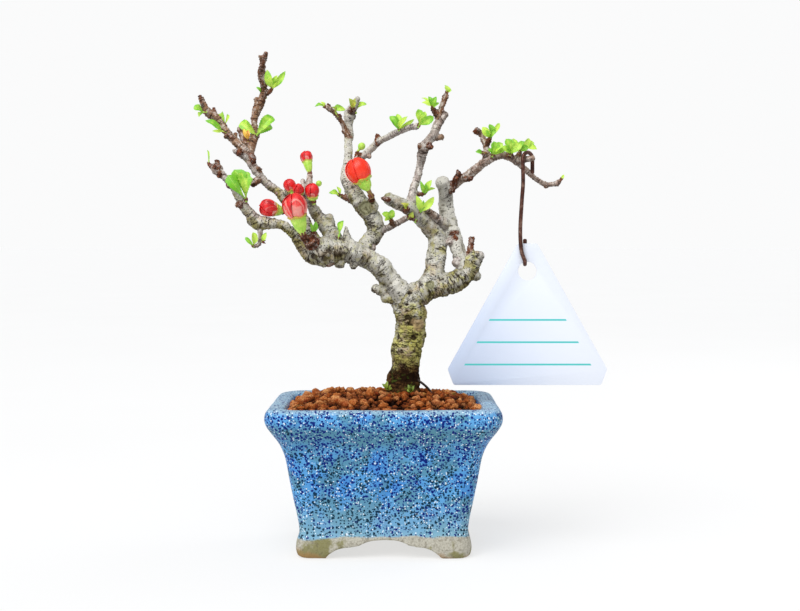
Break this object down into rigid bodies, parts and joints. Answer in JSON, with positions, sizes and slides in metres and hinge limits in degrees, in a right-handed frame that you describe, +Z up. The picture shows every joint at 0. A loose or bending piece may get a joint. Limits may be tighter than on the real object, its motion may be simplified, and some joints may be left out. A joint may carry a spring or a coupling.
{
  "type": "flowering quince bonsai",
  "caption": "Small flowering quince tree with opening leaves and red buds, in a flared rectangular pot on four feet, with a plain tag on a wire hook.",
  "frame": {"origin": "middle of the whole object's box in plan, at the table, under the pot's feet", "axes": "+Z up the tree, +Y from the front towards the back, +X to the right as seen from the front"},
  "size_m": [0.2062, 0.09, 0.2496],
  "materials": {
    "blue_glaze": "glossy blue glaze with fine dark and white speckles, bare grey clay on the feet",
    "red_granules": "dry fired red-brown granules",
    "bark": "grey bark with dark specks, olive lichen low on the trunk, red-brown on the young twigs",
    "young_leaf": "thin soft living leaf, satin, bright green",
    "leaf_bud": "opening leaf bud, soft, yellow-green",
    "petal_red": "closed living petals, soft satin, scarlet",
    "sepal_green": "living sepals and green buds, smooth satin, light green",
    "brown_wire": "copper-coloured wire gone dark brown, half matt",
    "white_plastic": "smooth white sheet, a little satin",
    "black_mesh": "moulded mesh"
  },
  "bodies": {
    "root": {"bud_inner_left_calyx": "sepal_green", "bud_inner_left_petals": "petal_red", "bud_inner_middle_calyx": "sepal_green", "bud_inner_middle_petals": "petal_red", "bud_inner_right_calyx": "sepal_green", "bud_inner_right_petals": "petal_red", "bud_low_front_calyx": "sepal_green", "bud_low_front_petals": "petal_red", "bud_low_left_calyx": "sepal_green", "bud_low_left_petals": "petal_red", "bud_middle_calyx": "sepal_green", "bud_middle_petals": "petal_red", "bud_slant_green": "sepal_green", "bud_spur_green": "sepal_green", "bud_top_calyx": "sepal_green", "bud_top_petals": "petal_red", "drain_mesh_left": "black_mesh", "drain_mesh_right": "black_mesh", "leaves_cross_twig": "young_leaf", "leaves_crown_left": "young_leaf", "leaves_crown_left_small": "young_leaf", "leaves_far_left_back": "young_leaf", "leaves_far_left_tip": "young_leaf", "leaves_far_left_under": "young_leaf", "leaves_fine_twig_bud": "leaf_bud", "leaves_fine_twig_tip": "young_leaf", "leaves_fork_bud": "leaf_bud", "leaves_fork_left": "young_leaf", "leaves_front_twig_low": "young_leaf", "leaves_front_twig_spur": "young_leaf", "leaves_front_twig_tip": "young_leaf", "leaves_hanging": "young_leaf", "leaves_hanging_small": "young_leaf", "leaves_limb_top": "young_leaf", "leaves_low_left_fan": "young_leaf", "leaves_low_left_sprout": "young_leaf", "leaves_middle_left": "young_leaf", "leaves_middle_top": "leaf_bud", "leaves_middle_top_left": "young_leaf", "leaves_middle_top_right": "young_leaf", "leaves_rising_limb_bud": "leaf_bud", "leaves_rising_limb_bud_low": "leaf_bud", "leaves_rising_limb_top": "young_leaf", "leaves_slant_twig_end": "young_leaf", "leaves_slant_twig_side": "young_leaf", "leaves_spur_front": "young_leaf", "leaves_tag_branch_end": "young_leaf", "leaves_tag_branch_hook": "young_leaf", "leaves_tag_branch_knee": "young_leaf", "leaves_tag_branch_middle": "young_leaf", "leaves_tag_branch_side": "young_leaf", "leaves_tag_branch_small": "young_leaf", "pot": "blue_glaze", "soil": "red_granules", "tag": "white_plastic", "tag_hook": "brown_wire", "tie_wire": "brown_wire", "tree": "bark", "weed_front": "young_leaf", "weed_left": "young_leaf"}
  },
  "joints": []
}
